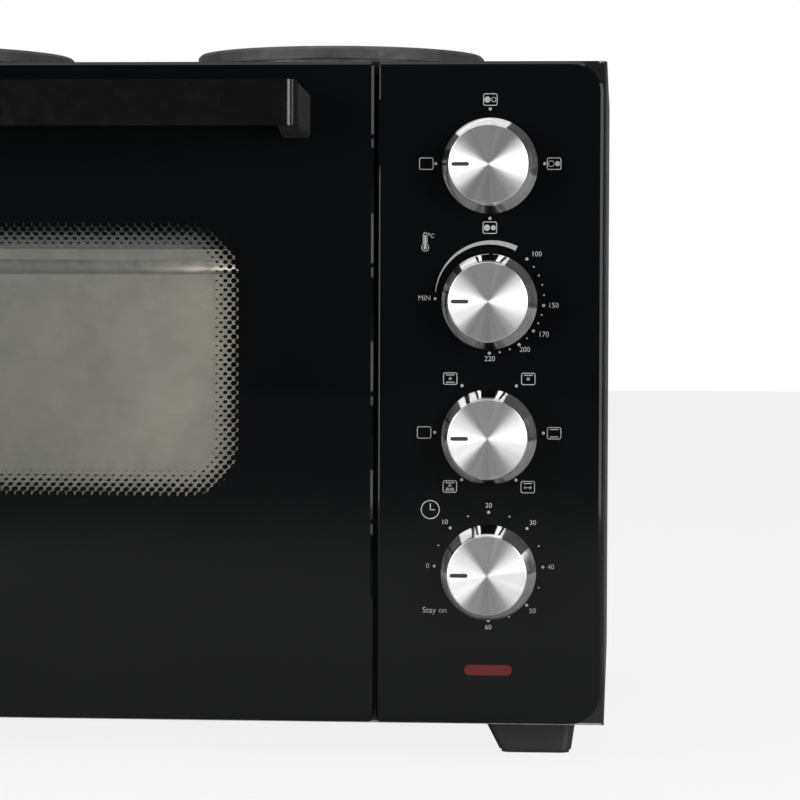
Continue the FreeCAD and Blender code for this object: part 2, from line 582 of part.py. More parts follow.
def controls():
    """The four switch bodies, the two motors and the oven lamp, behind the panels."""
    switches = []
    for index in range(4):
        level = f"knob_top - knob_pitch*{index}"
        block = box((f"{KNOB_X} - switch_width/2", CAVITY_FRONT, f"{level} - switch_width/2"),
                    ("switch_width", "switch_depth", "switch_width"))
        terminals = []
        for step in (-1, 0, 1):
            terminals.append(box((f"{KNOB_X} + {step}*12 - 3", f"{CAVITY_FRONT} + switch_depth",
                                  f"{level} - 4"), ("6", "8", "0.8")))
        bore = rod((KNOB_X, f"{CAVITY_FRONT} - 2", level), "shaft_radius + shaft_fit",
                   "switch_depth - 4", "Y")
        switches.append(cut(join([block] + terminals), [bore]))
    node(join(switches), "control_switches")
    motors = []
    for y_text, radius, length in (("fan_y", "27", "34"), ("spit_y", "24", "28")):
        centre = (f"{CAVITY_RIGHT} + sheet", f"{FRONT} + {y_text}", "fan_level")
        motor = join([rod(centre, radius, length, "X"),
                      box((centre[0], f"{centre[1]} - {radius} - 6", f"{centre[2]} - 8"),
                          ("2", f"({radius} + 6)*2", "16"))])
        start = (f"{centre[0]} - 2", centre[1], centre[2])
        motors.append(cut(motor, [rod(start, "axle_radius + axle_fit", "22", "X")]))
    node(join(motors), "drive_motors")
    centre = (CAVITY_RIGHT, f"{FRONT} + lamp_y", "lamp_level")
    inside = "lamp_radius - 5 - axle_fit"
    cover = [("0", "lamp_radius"), ("0 - 3", "lamp_radius"), ("0 - 9", "lamp_radius - 7"),
             ("0 - 9", "0"), ("0 - 7", "0"), ("0 - 7", "lamp_radius - 8"), ("0", "lamp_radius - 5")]
    node(turned("lamp_cover", "XZ_Plane", cover, centre, "H_Axis"), "oven_lamp_cover")
    cup = [("0", inside), ("0", f"{inside} - 1"), ("26", f"{inside} - 1"), ("26", "0"), ("28", "0"),
           ("28", inside)]
    node(turned("lamp_cup", "XZ_Plane", cup, centre, "H_Axis"), "oven_lamp_holder")
    bulb = [("26", "0"), ("26", "5"), ("18", "5"), ("12", "9"), ("4", "9"), ("0 - 1", "6"),
            ("0 - 3", "0")]
    node(turned("lamp_bulb", "XZ_Plane", bulb, centre, "H_Axis"), "oven_lamp_bulb")


def knobs():
    labels = ("hot_plate", "temperature", "function", "timer")
    for index, name in enumerate(labels):
        centre = (KNOB_X, FRONT, f"knob_top - knob_pitch*{index}")
        face = "0 - knob_depth + cap_depth"
        bore = "shaft_radius + 0.02"
        back = "0 - knob_gap"
        profile = [("0", face), ("knob_face", face), ("knob_base - 0.8", f"{back} - 1.5"),
                   ("knob_base", back), ("knob_base - knob_wall", back),
                   ("knob_face - knob_wall", f"{face} + 3"),
                   ("knob_hub", f"{face} + 3"), ("knob_hub", f"{back} - 1"), (bore, f"{back} - 1"),
                   (bore, f"{face} + shaft_seat"), ("0", f"{face} + shaft_seat")]
        skirt = turned(f"{name}_knob_body", "XY_Plane", profile, centre)
        rim = "knob_face - 0.6"
        disc = [("0", "0 - knob_depth"), (f"{rim} - 0.5", "0 - knob_depth"),
                (rim, "0 - knob_depth + 0.4"), (rim, face), ("0", face)]
        disc = turned(f"{name}_cap_body", "XY_Plane", disc, centre)
        slot = (f"{KNOB_X} - knob_face + 2", f"{FRONT} - knob_depth - 1",
                f"{centre[2]} - pointer_width/2")
        slot = box(slot, ("pointer_length", "1 + cap_depth", "pointer_width"))
        node(cut(disc, [slot]), f"{name}_knob_cap")
        start = (KNOB_X, f"{FRONT} - knob_depth + cap_depth + shaft_seat", centre[2])
        length = (f"knob_depth - cap_depth - shaft_seat + {PANEL_DEPTH} + frame_sheet"
                  " + switch_depth - 10")
        node(join([skirt, rod(start, "shaft_radius", length, "Y")]), f"{name}_knob")


def door():
    corner = (DOOR_LEFT, FRONT, "panel_rise")
    plate = box(corner, (DOOR_WIDTH, "glass", PANEL_HEIGHT))
    middle_x = number(DOOR_X)
    plate = rounded(plate, Y_AXIS, [("corner_large", lambda middle: middle.x < middle_x),
                                    ("corner_small", lambda middle: middle.x > middle_x)])
    screws = []
    for x_text in handle_places():
        screws.append(rod((x_text, f"{FRONT} - 2", handle_level()), "screw_radius + 0.05", "10", "Y"))
    node(cut(plate, screws), "door_outer_glass")
    left = f"({DOOR_LEFT} + door_inset)"
    width = f"({DOOR_WIDTH} - door_inset*2)"
    sill = "(pivot_level + door_sill)"
    height = f"({PANEL_TOP} - door_inset - {sill})"
    front = f"({FRONT} + glass)"
    depth = "(door_depth - glass - door_skin)"
    skin_y = f"({FRONT} + door_depth - door_skin)"
    ring = box((left, front, sill), (width, depth, height))
    ring = rounded(ring, Y_AXIS, [("corner_small*2", lambda middle: True)])
    hollow = box((f"{left} + door_plate", f"{front} + door_plate", f"{sill} + door_plate"),
                 (f"{width} - door_plate*2", depth, f"{height} - door_plate*2"))
    opening = box((f"{left} + door_wall", f"{front} - 2", f"{sill} + door_wall"),
                  (f"{width} - door_wall*2", f"{depth} + 4", f"{height} - door_wall - door_head"))
    tools = [hollow, opening]
    for side, x_text in ((1, HINGE_RIGHT), (-1, HINGE_LEFT)):
        tools.append(box((f"{x_text} + {side}*(hinge_plate + hinge_play) - hinge_plate/2 - slot_margin",
                          f"{front} + door_plate", f"{sill} - 1"),
                         ("hinge_plate + slot_margin*2", depth, "door_plate + 2")))
    for x_text in handle_places():
        tools.append(rod((x_text, f"{front} - 2", handle_level()), "screw_radius + 0.05", "10", "Y"))
    node(cut(ring, tools), "door_frame")
    window_x = f"({DOOR_LEFT} + window_side)"
    window_width = f"({DOOR_WIDTH} - window_side*2)"
    window_height = "(window_high - window_low)"
    skin = box((left, skin_y, sill), (width, "door_skin", height))
    skin = rounded(skin, Y_AXIS, [("corner_small*2", lambda middle: True)])
    opening = box((window_x, f"{skin_y} - 2", "window_low"), (window_width, "6", window_height))
    tools = [rounded(opening, Y_AXIS, [("window_corner", lambda middle: True)])]
    for side, x_text in ((1, HINGE_RIGHT), (-1, HINGE_LEFT)):
        tools.append(box((f"{x_text} + {side}*(hinge_plate + hinge_play) - hinge_plate/2 - slot_margin",
                          f"{skin_y} - 2", "pivot_level + arm_radius - arm_height/2 - 1.5"),
                         ("hinge_plate + slot_margin*2", "6", "arm_height + 2")))
    node(cut(skin, tools), "door_inner_panel")
    pane = box((f"{window_x} - glass_lap", f"{skin_y} - inner_glass", "window_low - glass_lap"),
               (f"{window_width} + glass_lap*2", "inner_glass", f"{window_height} + glass_lap*2"))
    node(rounded(pane, Y_AXIS, [("corner_small", lambda middle: True)]), "door_inner_glass")
    clips = []
    for x_text in (f"{window_x} + 40", f"{window_x} + {window_width} - 60"):
        for z_text, finger in (("window_low - glass_lap - 8", "window_low - glass_lap - 8"),
                               ("window_high + glass_lap", "window_high + glass_lap - 6")):
            foot = box((x_text, f"{skin_y} - inner_glass", z_text), ("20", "inner_glass", "8"))
            hook = box((x_text, f"{skin_y} - inner_glass - 1", finger), ("20", "1", "14"))
            clips.append(join([foot, hook]))
    node(join(clips), "glass_clips")
    seal = "(mouth_border + 1)"
    outer = box((f"{CAVITY_LEFT} + mouth_border - seal_width", f"{SHELL_FRONT} - seal_depth",
                 "cavity_floor + mouth_border - seal_width"),
                ("cavity_width - mouth_border*2 + seal_width*2", "seal_depth",
                 f"{CAVITY_HEIGHT} - mouth_border*2 + seal_width*2"))
    outer = rounded(outer, Y_AXIS, [("mouth_border*2 + seal_width", lambda middle: True)])
    inner = box((f"{CAVITY_LEFT} + {seal}", f"{SHELL_FRONT} - 4", f"cavity_floor + {seal}"),
                (f"cavity_width - {seal}*2", "8", f"{CAVITY_HEIGHT} - {seal}*2"))
    inner = rounded(inner, Y_AXIS, [("mouth_border*2", lambda middle: True)])
    node(cut(outer, [inner]), "door_seal")


def handle_places():
    """Where the handle brackets stand, in X."""
    return (f"({DOOR_LEFT} + handle_side + bracket_foot/2)",
            f"({DOOR_RIGHT} - handle_side - bracket_foot/2)")


def handle_level():
    return "(handle_low + bar_height/2 - bracket_drop/2)"


def handle():
    length = f"({DOOR_WIDTH} - handle_side*2)"
    bar = box((f"{DOOR_LEFT} + handle_side + 3", f"{FRONT} - handle_reach", "handle_low"),
              (f"{length} - 6", "bar_depth", "bar_height"))
    middle_y = number(f"{FRONT} - handle_reach + bar_depth/2")
    bar = rounded(bar, FreeCAD.Vector(0, 0, 1), [("bar_end", lambda middle: middle.y < middle_y)])
    node(bar, "door_handle_bar")
    arm = doc.addObject("Part::Wedge", "arm")
    outer = f"({DOOR_RIGHT} - handle_side)"
    spans = (("Ymin", BAR_BACK), ("Ymax", FRONT), ("Xmin", f"{outer} - 3 - bracket_width"),
             ("Xmax", f"{outer} - 3"), ("X2min", f"{outer} - bracket_foot"), ("X2max", outer),
             ("Zmin", "handle_low"), ("Zmax", "handle_low + bar_height"),
             ("Z2min", "handle_low - bracket_drop"), ("Z2max", "handle_low + bar_height - bracket_drop"))
    for name, text in spans:
        arm.setExpression(name, sized(text))
    arm = rounded(arm, Y_AXIS, [("2", lambda middle: True)], slack=0.2)
    arms = join([arm, mirrored(arm, DOOR_X)])
    threads = []
    holes = []
    for x_text in handle_places():
        start = (x_text, f"{FRONT} - 14", handle_level())
        holes.append(rod(start, "screw_radius + 0.05", "20", "Y"))
        threads.append(rod(start, "screw_radius", "14 + glass + door_plate + 1", "Y"))
        threads.append(rod((x_text, f"{FRONT} + glass + door_plate", handle_level()),
                           "head_radius", "head_depth", "Y"))
    node(cut(arms, holes), "handle_brackets")
    node(join(threads), "handle_screws")


def hinge():
    """The right hinge; its mirror image makes the left one."""
    low_x = f"({HINGE_RIGHT} - hinge_plate/2)"
    arm_x = f"({HINGE_RIGHT} + hinge_plate/2 + hinge_play)"
    ear = rod((low_x, PIVOT_Y, "pivot_level"), "ear_radius", "hinge_plate", "X")
    web = box((low_x, PIVOT_Y, "pivot_level - ear_radius"),
              ("hinge_plate", f"{CAVITY_FRONT} + 24 - {PIVOT_Y}", "ear_radius*2"))
    foot = box((f"{low_x} - 9", f"{CAVITY_FRONT} + 1", BASE_TOP), ("hinge_plate + 9", "23", "1.5"))
    post = box((low_x, f"{CAVITY_FRONT} + 1", BASE_TOP),
               ("hinge_plate", "23", f"pivot_level - {BASE_TOP}"))
    bore = rod((f"{low_x} - 2", PIVOT_Y, "pivot_level"), "pin_radius + pin_fit", "hinge_plate + 4", "X")
    bracket = cut(join([ear, web, foot, post]), [bore])
    node(join([bracket, mirrored(bracket, DOOR_X)]), "hinge_brackets")
    strap_y = f"({FRONT} + glass + door_plate)"
    strap = box((arm_x, strap_y, "pivot_level"),
                ("hinge_plate", "door_depth - glass - door_plate - door_skin",
                 "arm_radius + arm_height/2"))
    lug = rod((arm_x, PIVOT_Y, "pivot_level"), "ear_radius", "hinge_plate", "X")
    sector = doc.addObject("Part::Cylinder", "sector")
    sector.setExpression("Radius", sized("arm_radius + arm_height/2"))
    sector.setExpression("Height", sized("hinge_plate"))
    sector.Angle = 92
    sector.Placement = FreeCAD.Placement(FreeCAD.Vector(), FreeCAD.Rotation(Y_AXIS, -90))
    place(sector, (f"{arm_x} + hinge_plate", PIVOT_Y, "pivot_level"))
    hollow = rod((f"{arm_x} - 1", PIVOT_Y, "pivot_level"), "arm_radius - arm_height/2",
                 "hinge_plate + 2", "X")
    arm = join([strap, lug, cut(sector, [hollow])])
    arm = cut(arm, [rod((f"{arm_x} - 1", PIVOT_Y, "pivot_level"), "pin_radius", "hinge_plate + 2", "X")])
    pin = rod((f"{low_x} - 1", PIVOT_Y, "pivot_level"), "pin_radius",
              "hinge_plate*2 + hinge_play + 1", "X")
    group = doc.addObject("Part::Compound", "group")
    group.Links = [arm, mirrored(arm, DOOR_X), pin, mirrored(pin, DOOR_X)]
    node(group, "hinge_arms")
    guide = box((f"{arm_x} - 4", CAVITY_FRONT, "pivot_level + arm_radius - 10"),
                ("hinge_plate + 8", "8", "20"))
    path = rod((f"{arm_x} - running_gap", PIVOT_Y, "pivot_level"),
               "arm_radius + arm_height/2 + running_gap", "hinge_plate + running_gap*2", "X")
    core = rod((f"{arm_x} - 1", PIVOT_Y, "pivot_level"),
               "arm_radius - arm_height/2 - running_gap", "hinge_plate + 2", "X")
    guide = cut(guide, [cut(path, [core])])
    node(join([guide, mirrored(guide, DOOR_X)]), "hinge_guides")


def shelves():
    left = f"({CAVITY_LEFT} + shelf_gap)"
    width = "(cavity_width - shelf_gap*2)"
    front = f"({CAVITY_FRONT} + 4)"
    depth = f"({CAVITY_DEPTH} - 12)"
    level = "(rack_level + running_gap + wire)"
    wires = []
    for y_text in (f"{front} + wire", f"{front} + {depth} - wire"):
        wires.append(rod((f"{left} + wire", y_text, level), "wire", f"{width} - wire*2", "X"))
    for x_text in (f"{left} + wire", f"{left} + {width} - wire"):
        wires.append(rod((x_text, f"{front} + wire", level), "wire", f"{depth} - wire*2", "Y"))
    count = 15
    for index in range(1, count):
        x_text = f"{left} + wire + ({width} - wire*2)*{index}/{count}"
        wires.append(rod((x_text, f"{front} + wire", level), "thin_wire", f"{depth} - wire*2", "Y"))
    node(join(wires), "wire_rack")
    level = "(tray_level + running_gap)"
    flange = box((left, front, level), (width, depth, "tray_sheet"))
    upright = FreeCAD.Vector(0, 0, 1)
    flange = rounded(flange, upright, [("tray_corner", lambda middle: True)])
    inset = "(rail_reach - shelf_gap + 2)"
    tub = box((f"{left} + {inset}", f"{front} + {inset}", f"{level} + tray_sheet - tray_depth"),
              (f"{width} - {inset}*2", f"{depth} - {inset}*2", "tray_depth"))
    tub = rounded(tub, upright, [("tray_corner", lambda middle: True)])
    well = box((f"{left} + {inset} + tray_sheet", f"{front} + {inset} + tray_sheet",
                f"{level} + tray_sheet*2 - tray_depth"),
               (f"{width} - {inset}*2 - tray_sheet*2", f"{depth} - {inset}*2 - tray_sheet*2",
                "tray_depth"))
    well = rounded(well, upright, [("tray_corner - tray_sheet", lambda middle: True)])
    node(cut(join([flange, tub]), [well]), "baking_tray")


def fan_and_drive():
    centre = (CAVITY_RIGHT, f"{FRONT} + fan_y", "fan_level")
    cover = [("0", "fan_cover_radius"), ("0 - fan_cover_depth", "fan_cover_radius - 8"),
             ("0 - fan_cover_depth", "0"), ("1 - fan_cover_depth", "0"),
             ("1 - fan_cover_depth", "fan_cover_radius - 9"), ("0", "fan_cover_radius - 1")]
    cover = turned("fan_cover_body", "XZ_Plane", cover, centre, "H_Axis")
    holes = []
    for ring_radius, count in ((10, 6), (20, 12), (30, 18)):
        for index in range(count):
            turn = f"(360/{count}*{index})"
            holes.append(rod((f"{centre[0]} - fan_cover_depth - 1",
                              f"{centre[1]} + {ring_radius}*cos({turn})",
                              f"{centre[2]} + {ring_radius}*sin({turn})"), "2.6", "4", "X"))
    node(cut(cover, holes), "fan_cover")
    start = f"{centre[0]} - 4 - fan_width"
    pieces = [rod((start, centre[1], centre[2]), "8", "fan_width", "X")]
    for index in range(8):
        blade = box(("0", "0", "0"), ("fan_width", "1", "fan_radius - 6"), "blade")
        blade.Placement = FreeCAD.Placement(FreeCAD.Vector(), FreeCAD.Rotation(X_AXIS, 45 * index))
        turn = f"({45 * index})"
        place(blade, (start, f"{centre[1]} - 6*sin({turn})", f"{centre[2]} + 6*cos({turn})"))
        pieces.append(blade)
    wheel = cut(join(pieces), [rod((f"{start} + 2", centre[1], centre[2]), "axle_radius", "20", "X")])
    shaft = rod((f"{start} + 2", centre[1], centre[2]), "axle_radius", "fan_width + 2 + sheet + 16",
                "X")
    group = doc.addObject("Part::Compound", "group")
    group.Links = [wheel, shaft]
    node(group, "fan_wheel")
    centre = (CAVITY_RIGHT, f"{FRONT} + spit_y", "fan_level")
    start = f"{centre[0]} - spit_length"
    body = rod((start, centre[1], centre[2]), "spit_radius", "spit_length - running_gap", "X")
    stub = rod((start, centre[1], centre[2]), "axle_radius", "spit_length + sheet + 16", "X")
    dog = box((f"{start} - 6", f"{centre[1]} - 2.5", f"{centre[2]} - 2.5"), ("7", "5", "5"))
    node(join([body, stub, dog]), "rotisserie_drive")


def check_and_export():
    doc.recompute()
    for item in doc.Objects:
        if "Invalid" in item.State or "Error" in item.State:
            raise RuntimeError(f"{item.Name} ({item.Label}) did not compute: {item.State}")
    for piece in NODES:
        if piece.Shape.isNull() or not piece.Shape.isValid():
            raise RuntimeError(f"{piece.Label} has no valid shape")
    os.makedirs("parts", exist_ok=True)
    for piece in NODES:
        piece.Shape.exportStep(f"parts/{piece.Label}.step")
        print(piece.Label, len(piece.Shape.Solids), round(piece.Shape.Volume, 1))
    print(len(NODES), "sub-parts")


case_panels()
front_frame()
control_panel()
cavity()
heating()
hob()
standing_parts()
controls()
knobs()
door()
handle()
hinge()
shelves()
fan_and_drive()
check_and_export()
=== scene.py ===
import math

import bmesh
import bpy
from mathutils import Matrix, Vector


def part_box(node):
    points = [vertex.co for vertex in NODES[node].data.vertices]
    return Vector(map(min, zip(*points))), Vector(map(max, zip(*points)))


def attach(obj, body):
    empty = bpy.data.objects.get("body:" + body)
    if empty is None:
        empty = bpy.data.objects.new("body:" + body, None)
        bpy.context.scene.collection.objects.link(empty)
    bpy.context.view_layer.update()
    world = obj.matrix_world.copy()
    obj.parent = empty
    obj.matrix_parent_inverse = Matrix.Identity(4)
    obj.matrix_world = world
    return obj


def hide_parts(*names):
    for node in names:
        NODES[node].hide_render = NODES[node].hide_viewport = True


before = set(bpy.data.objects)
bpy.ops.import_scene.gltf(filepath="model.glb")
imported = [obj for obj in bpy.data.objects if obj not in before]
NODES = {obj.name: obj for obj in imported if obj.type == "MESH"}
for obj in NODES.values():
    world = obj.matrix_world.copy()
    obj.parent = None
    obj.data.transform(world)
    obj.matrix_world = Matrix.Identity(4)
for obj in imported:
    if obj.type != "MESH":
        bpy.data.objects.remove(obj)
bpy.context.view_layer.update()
MM = 0.001

# Places on the front, from the CAD boxes.
PANEL_LOW, PANEL_HIGH = (Vector(corner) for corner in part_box("control_glass"))
DOOR_LOW, DOOR_HIGH = (Vector(corner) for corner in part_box("door_outer_glass"))
FRONT_Y = PANEL_LOW.y
PANEL_X = (PANEL_LOW.x + PANEL_HIGH.x) / 2
DOOR_X = (DOOR_LOW.x + DOOR_HIGH.x) / 2
NOISE_ROUGHNESS = 0.55
GLOSS_GRAIN = 2.7
GLASS_DARK = (0.002, 0.0023, 0.0025)
GLASS_LIGHT = (0.0028, 0.0031, 0.0034)
GLASS_LAP = 10 * MM
WINDOW_CORNER = 26 * MM
DOT_COLUMN = 4.2 * MM
DOT_ROW = 4.5 * MM
DOT_LARGEST = 1.45 * MM
DOT_SHRINK = 0.1
DIALS = ("hot_plate", "temperature", "function", "timer")
DIAL_BODIES = {"hot_plate": "hot_plate_selector", "temperature": "temperature_control",
               "function": "function_selector", "timer": "timer_control"}


def middle(node):
    low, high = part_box(node)
    return (Vector(low) + Vector(high)) / 2


# ---------------------------------------------------------------- materials

class Nodes:
    """A short way to wire a material's nodes."""

    def __init__(self, name):
        self.material = bpy.data.materials.new(name)
        self.material.use_nodes = True
        self.tree = self.material.node_tree
        self.shader = self.tree.nodes["Principled BSDF"]
        self.output = self.tree.nodes["Material Output"]
        self.place = self.add("ShaderNodeTexCoord").outputs["Object"]

    def add(self, kind, **settings):
        item = self.tree.nodes.new(kind)
        for key, value in settings.items():
            setattr(item, key, value)
        return item

    def link(self, source, target):
        self.tree.links.new(source, target)

    def feed(self, value, socket):
        if isinstance(value, (int, float, tuple, Vector)):
            socket.default_value = value
        else:
            self.link(value, socket)

    def maths(self, operation, first, second=0.0, clamp=False):
        item = self.add("ShaderNodeMath", operation=operation, use_clamp=clamp)
        self.feed(first, item.inputs[0])
        self.feed(second, item.inputs[1])
        return item.outputs[0]

    def vector(self, operation, first, second=(0.0, 0.0, 0.0)):
        item = self.add("ShaderNodeVectorMath", operation=operation)
        self.feed(first, item.inputs[0])
        self.feed(second, item.inputs[1])
        return item.outputs["Value" if operation in ("LENGTH", "DOT_PRODUCT") else "Vector"]

    def noise(self, scale, detail=4.0):
        item = self.add("ShaderNodeTexNoise")
        item.inputs["Scale"].default_value = scale
        item.inputs["Detail"].default_value = detail
        item.inputs["Roughness"].default_value = NOISE_ROUGHNESS
        self.link(self.place, item.inputs["Vector"])
        return item.outputs["Fac"]

    def ramp(self, factor, stops):
        item = self.add("ShaderNodeValToRGB")
        elements = item.color_ramp.elements
        while len(elements) < len(stops):
            elements.new(0.5)
        for element, (spot, colour) in zip(elements, stops):
            element.position = spot
            element.color = (*colour, 1)
        self.link(factor, item.inputs["Fac"])
        return item.outputs["Color"]

    def spread(self, factor, low, high):
        item = self.add("ShaderNodeMapRange")
        item.inputs["From Min"].default_value = 0.3
        item.inputs["From Max"].default_value = 0.7
        item.inputs["To Min"].default_value = low
        item.inputs["To Max"].default_value = high
        self.link(factor, item.inputs["Value"])
        return item.outputs["Result"]

    def to_world(self, direction):
        item = self.add("ShaderNodeVectorTransform", vector_type="VECTOR",
                        convert_from="OBJECT", convert_to="WORLD")
        self.link(direction, item.inputs["Vector"])
        return item.outputs["Vector"]

    def bump(self, height, strength, distance):
        item = self.add("ShaderNodeBump")
        item.inputs["Strength"].default_value = strength
        item.inputs["Distance"].default_value = distance
        self.link(height, item.inputs["Height"])
        self.link(item.outputs["Normal"], self.shader.inputs["Normal"])


def surface(name, dark, light, rough, grain=60.0, bump=0.15, depth=0.0002, metal=0.0,
            specular=0.5, speck=900.0):
    """A finish with colour variation, uneven gloss and a fine relief."""
    nodes = Nodes(name)
    cloud = nodes.noise(grain)
    nodes.link(nodes.ramp(cloud, ((0.3, dark), (0.7, light))), nodes.shader.inputs["Base Color"])
    nodes.link(nodes.spread(nodes.noise(grain * GLOSS_GRAIN), *rough),
               nodes.shader.inputs["Roughness"])
    nodes.bump(nodes.noise(speck, 3.0), bump, depth)
    nodes.shader.inputs["Metallic"].default_value = metal
    nodes.shader.inputs["Specular IOR Level"].default_value = specular
    return nodes.material


def grey(value, tint=(1.0, 1.0, 1.0)):
    return tuple(value * part for part in tint)


def edge_distance(nodes, across, up, half_x, half_z, corner):
    """How far inside a rounded rectangle a place lies."""
    side = nodes.maths("SUBTRACT", nodes.maths("ABSOLUTE", across), half_x - corner)
    over = nodes.maths("SUBTRACT", nodes.maths("ABSOLUTE", up), half_z - corner)
    out_side = nodes.maths("MAXIMUM", side, 0.0)
    out_over = nodes.maths("MAXIMUM", over, 0.0)
    square = nodes.maths("ADD", nodes.maths("MULTIPLY", out_side, out_side),
                         nodes.maths("MULTIPLY", out_over, out_over))
    within = nodes.maths("MINIMUM", nodes.maths("MAXIMUM", side, over), 0.0)
    reach = nodes.maths("ADD", nodes.maths("SQRT", square), within)
    return nodes.maths("SUBTRACT", corner, reach)


def printed_dot(nodes, across, up, shift, window):
    """One lattice of round dots, each smaller the further its centre lies inside the window."""
    centres = []
    squares = []
    for value, pitch in ((across, DOT_COLUMN), (up, DOT_ROW)):
        cell = nodes.maths("ADD", nodes.maths("DIVIDE", value, pitch), shift)
        part = nodes.maths("SUBTRACT", nodes.maths("FRACT", cell), 0.5)
        offset = nodes.maths("MULTIPLY", part, pitch)
        centres.append(nodes.maths("SUBTRACT", value, offset))
        squares.append(nodes.maths("MULTIPLY", offset, offset))
    distance = nodes.maths("SQRT", nodes.maths("ADD", squares[0], squares[1]))
    edge = edge_distance(nodes, centres[0], centres[1], *window)
    radius = nodes.maths("SUBTRACT", DOT_LARGEST, nodes.maths("MULTIPLY", edge, DOT_SHRINK))
    return nodes.maths("LESS_THAN", distance, nodes.maths("MINIMUM", radius, DOT_LARGEST))


def window_glass(name):
    """Black printed glass with a clear window, whose edge breaks up into rows of printed dots."""
    nodes = Nodes(name)
    separate = nodes.add("ShaderNodeSeparateXYZ")
    nodes.link(nodes.place, separate.inputs[0])
    pane_low, pane_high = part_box("door_inner_glass")
    half_x = (pane_high[0] - pane_low[0]) / 2 - GLASS_LAP
    half_z = (pane_high[2] - pane_low[2]) / 2 - GLASS_LAP
    window = (half_x, half_z, WINDOW_CORNER)
    across = nodes.maths("SUBTRACT", separate.outputs["X"], DOOR_X)
    up = nodes.maths("SUBTRACT", separate.outputs["Z"], (pane_high[2] + pane_low[2]) / 2)
    solid = nodes.maths("LESS_THAN", edge_distance(nodes, across, up, *window), 0.0)
    first = printed_dot(nodes, across, up, 0.0, window)
    second = printed_dot(nodes, across, up, 0.5, window)
    printed = nodes.maths("MAXIMUM", nodes.maths("MAXIMUM", first, second), solid)
    alpha = nodes.maths("ADD", nodes.maths("MULTIPLY", printed, 0.85), 0.15, clamp=True)
    nodes.link(alpha, nodes.shader.inputs["Alpha"])
    nodes.link(nodes.ramp(nodes.noise(9.0), ((0.3, GLASS_DARK), (0.7, GLASS_LIGHT))),
               nodes.shader.inputs["Base Color"])
    nodes.link(nodes.spread(nodes.noise(30.0), 0.03, 0.06), nodes.shader.inputs["Roughness"])
    nodes.shader.inputs["Specular IOR Level"].default_value = 0.2
    return nodes.material


def from_axis(nodes, centre):
    """The way outwards from a knob's axis, which runs along Y."""
    away = nodes.vector("SUBTRACT", nodes.place, tuple(centre))
    flat = nodes.vector("MULTIPLY", away, (1.0, 0.0, 1.0))
    return flat, nodes.vector("NORMALIZE", flat)


def spun_metal(name, centre):
    """Aluminium turned on a lathe: its grooves run round the axis and fan each light outwards. Its base
    colour also lightens and darkens by angle round the axis, as painted reflection wedges.
    """
    nodes = Nodes(name)
    flat, outwards = from_axis(nodes, centre)
    nodes.link(nodes.to_world(outwards), nodes.shader.inputs["Tangent"])
    # Painted reflection: the base colour varies by angle round the axis, standing in for the lights'
    # wedges on spun metal.
    painted_sheen_wedges = nodes.add("ShaderNodeTexNoise")
    painted_sheen_wedges.inputs["Scale"].default_value = 2.4
    painted_sheen_wedges.inputs["Detail"].default_value = 3.0
    nodes.link(outwards, painted_sheen_wedges.inputs["Vector"])
    rings = nodes.add("ShaderNodeTexNoise", noise_dimensions="1D")
    rings.inputs["Scale"].default_value = 2600.0
    rings.inputs["Detail"].default_value = 3.0
    nodes.link(nodes.vector("LENGTH", flat), rings.inputs["W"])
    nodes.link(nodes.ramp(painted_sheen_wedges.outputs["Fac"], ((0.3, grey(0.58)), (0.7, grey(0.86)))),
               nodes.shader.inputs["Base Color"])
    nodes.link(nodes.spread(rings.outputs["Fac"], 0.35, 0.41), nodes.shader.inputs["Roughness"])
    nodes.bump(rings.outputs["Fac"], 0.06, 0.00002)
    nodes.shader.inputs["Metallic"].default_value = 1.0
    nodes.shader.inputs["Anisotropic"].default_value = 0.95
    return nodes.material


def knob_chrome(name, centre):
    """Dark polished chrome that shades as the knob's chamfered edge does."""
    nodes = Nodes(name)
    flat, outwards = from_axis(nodes, centre)
    slope = nodes.vector("ADD", outwards, (0.0, -1.0, 0.0))
    normal = nodes.vector("NORMALIZE", nodes.to_world(slope))
    nodes.link(normal, nodes.shader.inputs["Normal"])
    nodes.link(nodes.ramp(nodes.noise(140.0), ((0.3, grey(0.26)), (0.7, grey(0.4)))),
               nodes.shader.inputs["Base Color"])
    nodes.link(nodes.spread(nodes.noise(90.0), 0.05, 0.11), nodes.shader.inputs["Roughness"])
    nodes.shader.inputs["Metallic"].default_value = 1.0
    return nodes.material


def clear_glass(name, tint, alpha):
    nodes = Nodes(name)
    nodes.link(nodes.ramp(nodes.noise(20.0), ((0.3, grey(0.9, tint)), (0.7, tint))),
               nodes.shader.inputs["Base Color"])
    nodes.link(nodes.spread(nodes.noise(35.0), 0.02, 0.07), nodes.shader.inputs["Roughness"])
    nodes.shader.inputs["Alpha"].default_value = alpha
    return nodes.material


def glowing(name, colour, strength, rough=0.3):
    nodes = Nodes(name)
    nodes.link(nodes.ramp(nodes.noise(300.0), ((0.3, grey(0.8, colour)), (0.7, colour))),
               nodes.shader.inputs["Base Color"])
    nodes.shader.inputs["Roughness"].default_value = rough
    nodes.shader.inputs["Emission Color"].default_value = (*colour, 1)
    nodes.shader.inputs["Emission Strength"].default_value = strength
    return nodes.material


def dress(node, material, angle=35.0):
    """Give a CAD node its finish and smooth shading across its curved faces."""
    item = NODES[node]
    item.data.materials.clear()
    item.data.materials.append(material)
    item.data.shade_smooth()
    item.data.set_sharp_from_angle(angle=math.radians(angle))


def soften(item, width):
    """A small round on a piece's edges."""
    bevel = item.modifiers.new("edge_round", "BEVEL")
    bevel.width = width
    bevel.segments = 3
    bevel.limit_method = "ANGLE"
    bevel.angle_limit = math.radians(50)


